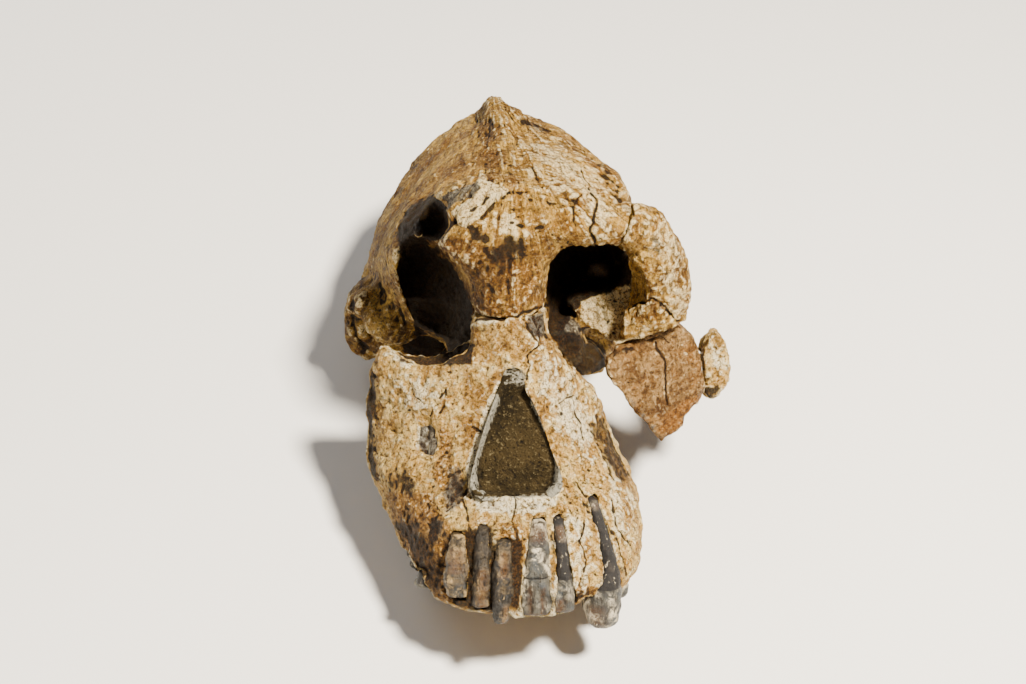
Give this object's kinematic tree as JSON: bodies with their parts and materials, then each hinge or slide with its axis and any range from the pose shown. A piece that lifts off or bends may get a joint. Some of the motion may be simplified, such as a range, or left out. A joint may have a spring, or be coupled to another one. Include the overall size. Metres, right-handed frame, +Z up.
{
  "type": "fossil hominin skull",
  "caption": "Fossil hominin skull without its lower jaw, rejoined from broken pieces, with a low crest, worn teeth and a stone-filled nose, lying tipped back on its molars.",
  "frame": {"origin": "on the resting surface, under the middle of the whole skull's box", "axes": "+X is the skull's left, +Y towards the back of the head, +Z up from the surface the skull rests on; the face looks towards -Y and up"},
  "size_m": [0.123, 0.2082, 0.1187],
  "materials": {
    "aged_bone": "matt, finely pitted and streaked fossil bone, tan to ochre",
    "pale_bone": "matt, pitted and cracked fossil bone, cream with brown and grey stains",
    "brown_bone": "matt, tan-orange fossil bone with rust stains",
    "tooth_enamel": "worn blue-grey enamel, slightly glossy",
    "tooth_root": "charcoal tooth root, slightly glossy",
    "stone_matrix": "matt, speckled brown-grey sandy stone"
  },
  "bodies": {
    "root": {"braincase": "aged_bone", "face": "pale_bone", "left_orbital_arch": "aged_bone", "left_cheekbone": "brown_bone", "cheek_splinter": "pale_bone", "nasal_matrix": "stone_matrix", "left_central_incisor": "tooth_enamel", "left_lateral_incisor": "tooth_enamel", "left_canine": "tooth_enamel", "right_central_incisor": "tooth_root", "right_lateral_incisor": "tooth_root", "right_canine": "tooth_root", "left_third_premolar": "tooth_enamel", "left_fourth_premolar": "tooth_enamel", "left_first_molar": "tooth_enamel", "left_second_molar": "tooth_enamel", "left_third_molar": "tooth_enamel", "right_third_premolar": "tooth_enamel", "right_fourth_premolar": "tooth_enamel", "right_first_molar": "tooth_enamel", "right_second_molar": "tooth_enamel", "right_third_molar": "tooth_enamel"}
  },
  "joints": []
}
